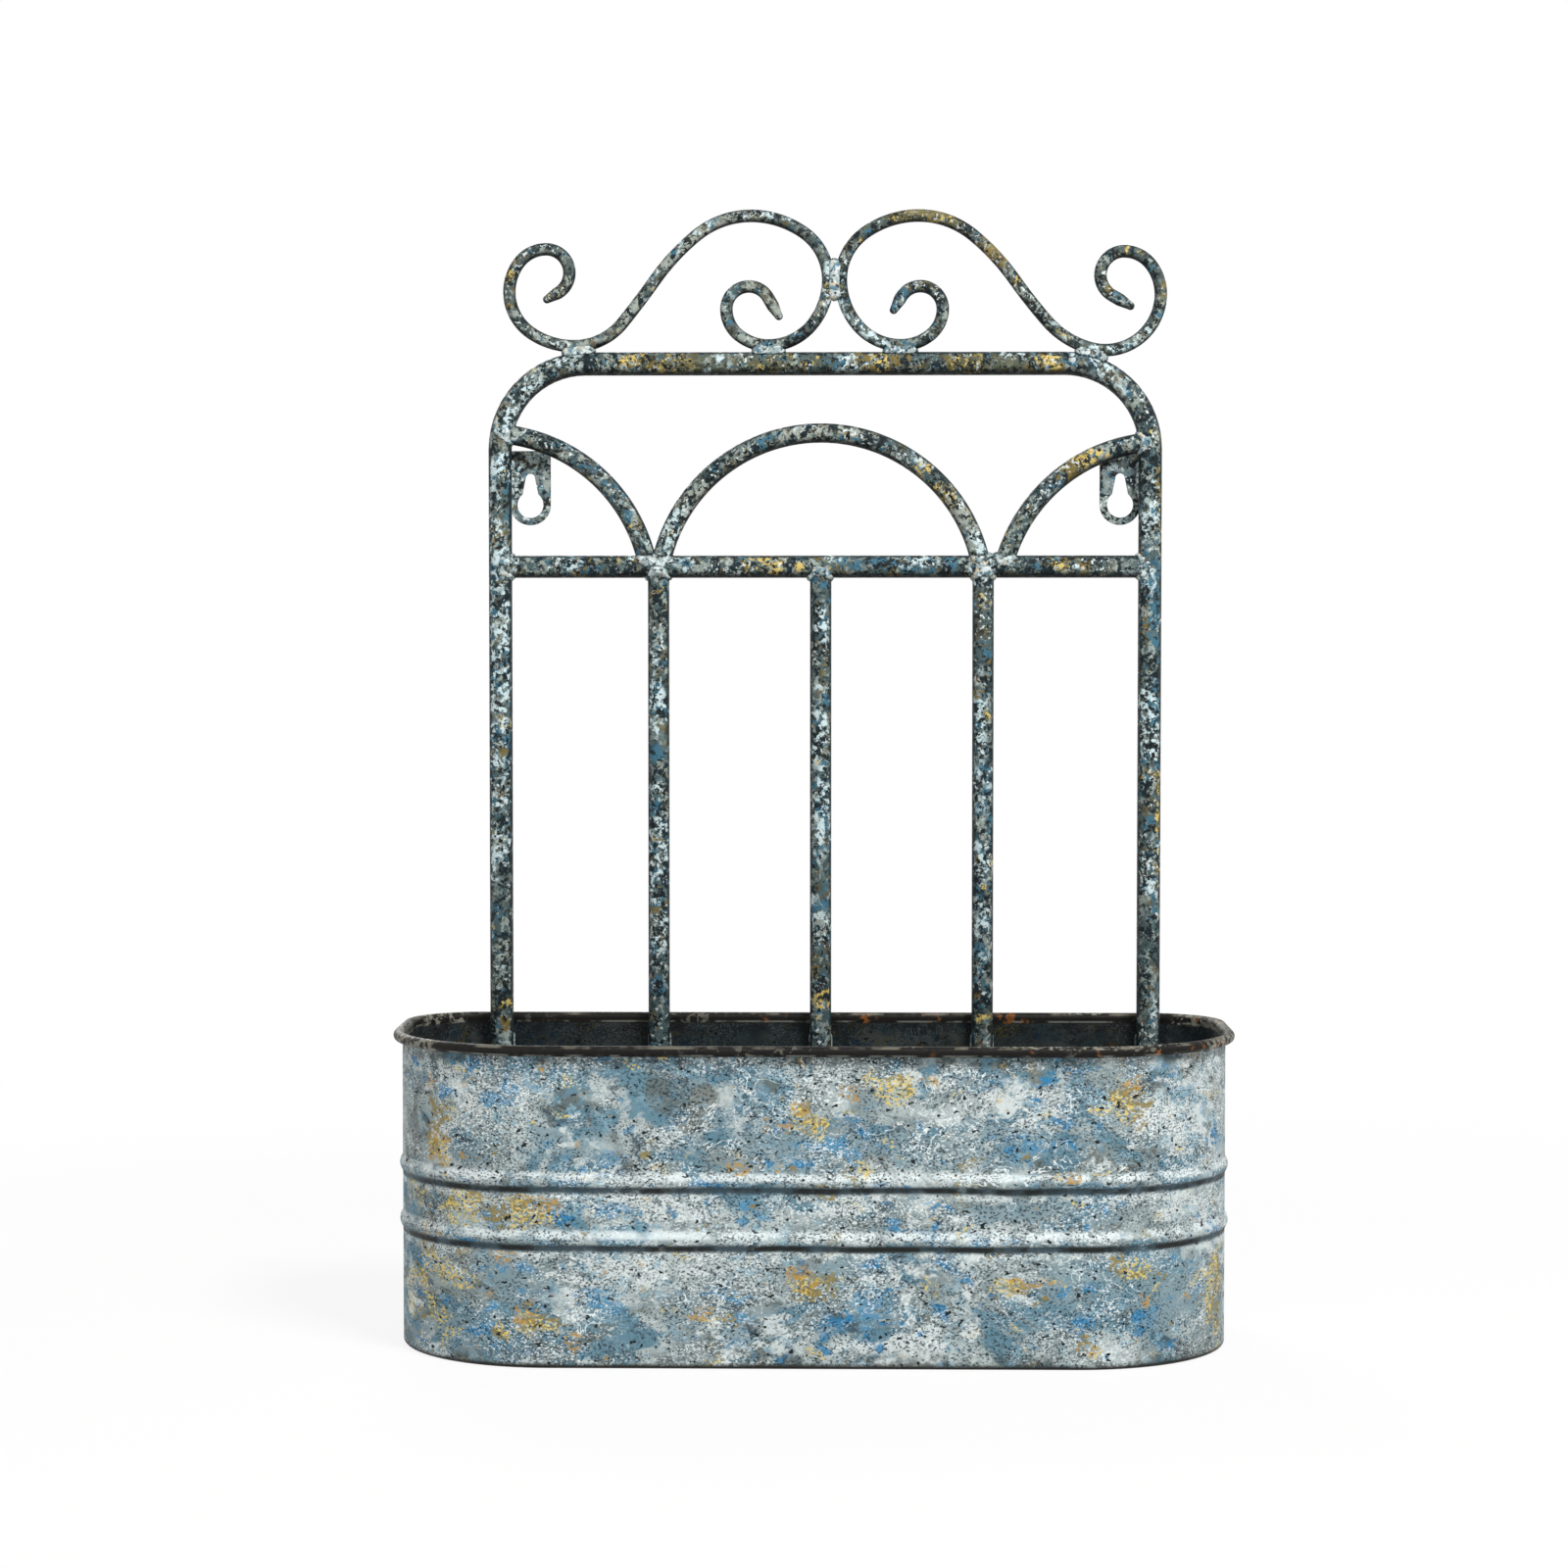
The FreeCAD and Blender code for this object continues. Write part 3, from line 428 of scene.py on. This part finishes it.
def paintBars(name, look):
    material, tree = newMaterial(name)
    place = addNode(tree, "ShaderNodeTexCoord").outputs["Object"]
    normal = addNode(tree, "ShaderNodeNewGeometry").outputs["Normal"]
    facing = addNode(tree, "ShaderNodeSeparateXYZ", {0: normal})
    colour = layCoats(tree, place, toLinear(look["ground"]), look["coats"])

    # painted shade: faces turned sideways, away from front and back, are darkened in flakes with a dark coat
    side = look["side"]
    frontBack = addNode(tree, "ShaderNodeMath", {0: facing.outputs["Y"]}, operation="ABSOLUTE")
    sideways = addNode(tree, "ShaderNodeMapRange", {
        "Value": frontBack.outputs[0], "From Min": side["turn"][0], "From Max": side["turn"][1]},
        interpolation_type="SMOOTHSTEP")
    grain = addNode(tree, "ShaderNodeTexNoise", {
        "Vector": place, "W": side["seed"], "Scale": perMm(side["grainMm"]), "Detail": side["detail"]},
        noise_dimensions="4D")
    flaked = addNode(tree, "ShaderNodeMath", {
        0: sideways.outputs[0], 1: side["lift"], 2: grain.outputs[0]}, operation="MULTIPLY_ADD")
    onShadedSide = addNode(tree, "ShaderNodeMapRange", {
        "Value": flaked.outputs[0], "From Min": side["edge"][0], "From Max": side["edge"][1],
        "To Max": look["sideShare"]})

    # painted shade with black grime: faces that turn downwards are darkened
    under = look["under"]
    underneath = addNode(tree, "ShaderNodeMapRange", {
        "Value": facing.outputs["Z"], "From Min": under["turn"][0], "From Max": under["turn"][1],
        "To Max": look["underShare"]}, interpolation_type="SMOOTHSTEP")
    for share, dark in ((onShadedSide, side["hex"]), (underneath, under["hex"])):
        colour = addNode(tree, "ShaderNodeMix", {0: share.outputs[0], 6: colour, 7: toLinear(dark)},
                         data_type="RGBA").outputs[2]
    # rubbed gold ochre, which is also a painted highlight on the right post's outer edge and the hump's top
    colour = layCoats(tree, place, colour, look["rubsAndHighlights"])
    finishSkin(tree, place, colour, look["skin"])
    return material


# floor pan and rim wire: hot-dip zinc gone dull, with broad faint crystals and brown water stains

zincPan = {
    "ground": "#70777a",
    "crystalMm": 9,
    "crystalLight": (0.75, 1.05),
    "stain": "#463f34",
    "stainMm": 30,
    "stainDetail": 5.0,
    "stainEdge": (0.45, 0.62),
    "stainShare": 0.8,
    "roughness": (0.4, 0.75),
    "metallic": 0.6,
}


def paintZinc(look):
    material, tree = newMaterial("dullGalvanisedSheet")
    dim, light = look["crystalLight"]
    clean, damp = look["stainEdge"]
    smooth, rough = look["roughness"]
    place = addNode(tree, "ShaderNodeTexCoord").outputs["Object"]
    crystals = addNode(tree, "ShaderNodeTexVoronoi", {"Vector": place, "Scale": perMm(look["crystalMm"])})
    shade = addNode(tree, "ShaderNodeSeparateColor", {0: crystals.outputs["Color"]})
    bright = addNode(tree, "ShaderNodeMapRange", {"Value": shade.outputs[0], "To Min": dim, "To Max": light})
    sheet = addNode(tree, "ShaderNodeVectorMath", {0: toLinear(look["ground"])[:3], 3: bright.outputs[0]},
                    operation="SCALE")
    water = addNode(tree, "ShaderNodeTexNoise", {
        "Vector": place, "Scale": perMm(look["stainMm"]), "Detail": look["stainDetail"]})
    stained = addNode(tree, "ShaderNodeMapRange", {
        "Value": water.outputs[0], "From Min": clean, "From Max": damp, "To Max": look["stainShare"]})
    colour = addNode(tree, "ShaderNodeMix", {
        0: stained.outputs[0], 6: sheet.outputs[0], 7: toLinear(look["stain"])}, data_type="RGBA")
    dull = addNode(tree, "ShaderNodeMapRange", {"Value": water.outputs[0], "To Min": smooth, "To Max": rough})
    surface = addNode(tree, "ShaderNodeBsdfPrincipled", {
        "Base Color": colour.outputs[2], "Roughness": dull.outputs[0], "Metallic": look["metallic"]})
    addNode(tree, "ShaderNodeOutputMaterial", {"Surface": surface.outputs[0]})
    return material


slotMaterials = {
    "trough_paint": paintTrough(troughPaint),
    "trellis_paint": paintBars("flakedBarPaint", barPaint),
    "scroll_paint": paintBars("flakedScrollPaint", scrollPaint),
    "tab_paint": paintBars("flakedTabPaint", tabPaint),
    "weld_paint": paintBars("paintedWeldMetal", weldPaint),
    "pan_steel": paintZinc(zincPan),
}
slotMaterials["bare_steel"] = slotMaterials["pan_steel"]
for part in frame["record"]["subparts"]:
    mesh = cadNodes[part["node"]].data
    mesh.materials.clear()
    mesh.materials.append(slotMaterials[part["material_slot"]])
print("paint on:", len(slotMaterials), "slots")


# weld metal: the CAD beads again, with the uneven lumps that a hand-run bead sets in

weldLumps = {
    "nodes": ("rail_welds", "arch_welds", "scroll_welds", "hanger_welds"),
    "voxelMm": 0.6,
    "waveMm": 5.0,
    "heightMm": 0.7,
    "seed": 7.3,
    "fractal": (0.8, 2.0, 3),  # fall-off, step between waves and number of waves
}


def lumpWeld(nodeName, look):
    source = cadNodes[nodeName]
    piece = bpy.data.objects.new(nodeName + ".lumps", source.data.copy())
    piece.matrix_world = source.matrix_world.copy()
    scene.collection.objects.link(piece)
    skin = piece.modifiers.new("skin", "REMESH")
    skin.mode = "VOXEL"
    skin.voxel_size = metres(look["voxelMm"])
    bpy.context.view_layer.update()
    mesh = bpy.data.meshes.new_from_object(piece.evaluated_get(bpy.context.evaluated_depsgraph_get()))
    piece.modifiers.clear()
    piece.data = mesh
    normals = [vertex.normal.copy() for vertex in mesh.vertices]
    drift = Vector((look["seed"], look["seed"], look["seed"]))
    for vertex, normal in zip(mesh.vertices, normals):
        lump = noise.fractal(vertex.co * perMm(look["waveMm"]) + drift, *look["fractal"])
        vertex.co += normal * lump * look["heightMm"] / mmPerMetre
    mesh.shade_smooth()
    mesh.materials.clear()
    mesh.materials.append(slotMaterials["weld_paint"])
    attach(piece, "root")
    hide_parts(nodeName)
    return len(mesh.polygons)


print("weld faces:", [lumpWeld(nodeName, weldLumps) for nodeName in weldLumps["nodes"]])


# stage: pale floor that fades into white, so only the soft contact shadow stays; right under the trough it
# stays in shade, so the drain holes look dark from above

stage = {"floor": "#f2f2f0", "sizeM": 12.0, "showNear": 0.86, "nearM": 0.35, "farM": 1.2, "skyLevel": 0.28,
         "underM": (0.2, 0.07)}


def seenRays(tree):
    paths = addNode(tree, "ShaderNodeLightPath")
    mirror = addNode(tree, "ShaderNodeMath", {
        0: paths.outputs["Is Camera Ray"], 1: paths.outputs["Is Glossy Ray"]}, operation="MAXIMUM")
    return addNode(tree, "ShaderNodeMath", {
        0: mirror.outputs[0], 1: paths.outputs["Is Transmission Ray"]}, operation="MAXIMUM").outputs[0]


def buildStage(look):
    bpy.ops.mesh.primitive_plane_add(size=look["sizeM"])
    floor = bpy.context.object
    floor.name = "studioFloor"
    material, tree = newMaterial("paleStudioFloor")
    underX, underY = look["underM"]
    place = addNode(tree, "ShaderNodeTexCoord").outputs["Object"]
    away = addNode(tree, "ShaderNodeVectorMath", {0: place}, operation="LENGTH")
    fade = addNode(tree, "ShaderNodeMapRange", {
        "Value": away.outputs["Value"], "From Min": look["nearM"], "From Max": look["farM"],
        "To Min": look["showNear"], "To Max": 1.0}, interpolation_type="SMOOTHSTEP")
    oval = addNode(tree, "ShaderNodeVectorMath", {0: place, 1: (1 / underX, 1 / underY, 0.0)},
                   operation="MULTIPLY")
    reach = addNode(tree, "ShaderNodeVectorMath", {0: oval.outputs[0]}, operation="LENGTH")
    clear = addNode(tree, "ShaderNodeMath", {0: reach.outputs["Value"], 1: 1.0}, operation="GREATER_THAN")
    shown = addNode(tree, "ShaderNodeMath", {0: fade.outputs[0], 1: clear.outputs[0]}, operation="MULTIPLY")
    share = addNode(tree, "ShaderNodeMath", {0: shown.outputs[0], 1: seenRays(tree)}, operation="MULTIPLY")
    plain = addNode(tree, "ShaderNodeBsdfDiffuse", {"Color": toLinear(look["floor"])})
    glow = addNode(tree, "ShaderNodeEmission", {"Color": white, "Strength": 1.0})
    both = addNode(tree, "ShaderNodeMixShader", {
        0: share.outputs[0], 1: plain.outputs[0], 2: glow.outputs[0]})
    addNode(tree, "ShaderNodeOutputMaterial", {"Surface": both.outputs[0]})
    floor.data.materials.append(material)

    world = bpy.data.worlds.new("studioWorld")
    world.use_nodes = True
    tree = world.node_tree
    tree.nodes.clear()
    level = addNode(tree, "ShaderNodeMapRange", {
        "Value": seenRays(tree), "To Min": look["skyLevel"], "To Max": 1.0})
    sky = addNode(tree, "ShaderNodeBackground", {"Color": white, "Strength": level.outputs[0]})
    addNode(tree, "ShaderNodeOutputWorld", {"Surface": sky.outputs[0]})
    scene.world = world


buildStage(stage)

lamps = [
    {"name": "keySoftbox", "placeM": (1.05, -1.5, 2.0), "sizeM": 0.8, "watts": 60.0},
    {"name": "fillSoftbox", "placeM": (-1.2, -1.7, 0.6), "sizeM": 1.4, "watts": 8.0},
    {"name": "rearSoftbox", "placeM": (-0.7, 1.9, 1.3), "sizeM": 1.2, "watts": 22.0},
]
lampAim = Vector((0.0, 0.0, 0.28))
for lamp in lamps:
    light = bpy.data.lights.new(lamp["name"], "AREA")
    light.size = lamp["sizeM"]
    light.energy = lamp["watts"]
    holder = bpy.data.objects.new(lamp["name"], light)
    holder.location = lamp["placeM"]
    holder.rotation_euler = (lampAim - holder.location).to_track_quat("-Z", "Y").to_euler()
    scene.collection.objects.link(holder)
print("stage and lamps set")

view = {"placeMm": (20.3, -1800.5, 355.7), "panDeg": 1.11, "tiltDeg": 2.47, "lensMm": 83.25, "sensorMm": 36.0}
camera = bpy.data.objects.new("photoCamera", bpy.data.cameras.new("photoCamera"))
camera.data.sensor_width = view["sensorMm"]
camera.data.lens = view["lensMm"]
camera.location = [metres(value) for value in view["placeMm"]]
camera.rotation_euler = (math.radians(90 - view["tiltDeg"]), 0.0, math.radians(view["panDeg"]))
scene.collection.objects.link(camera)
scene.camera = camera
scene.view_settings.view_transform = "Standard"
print("camera set")
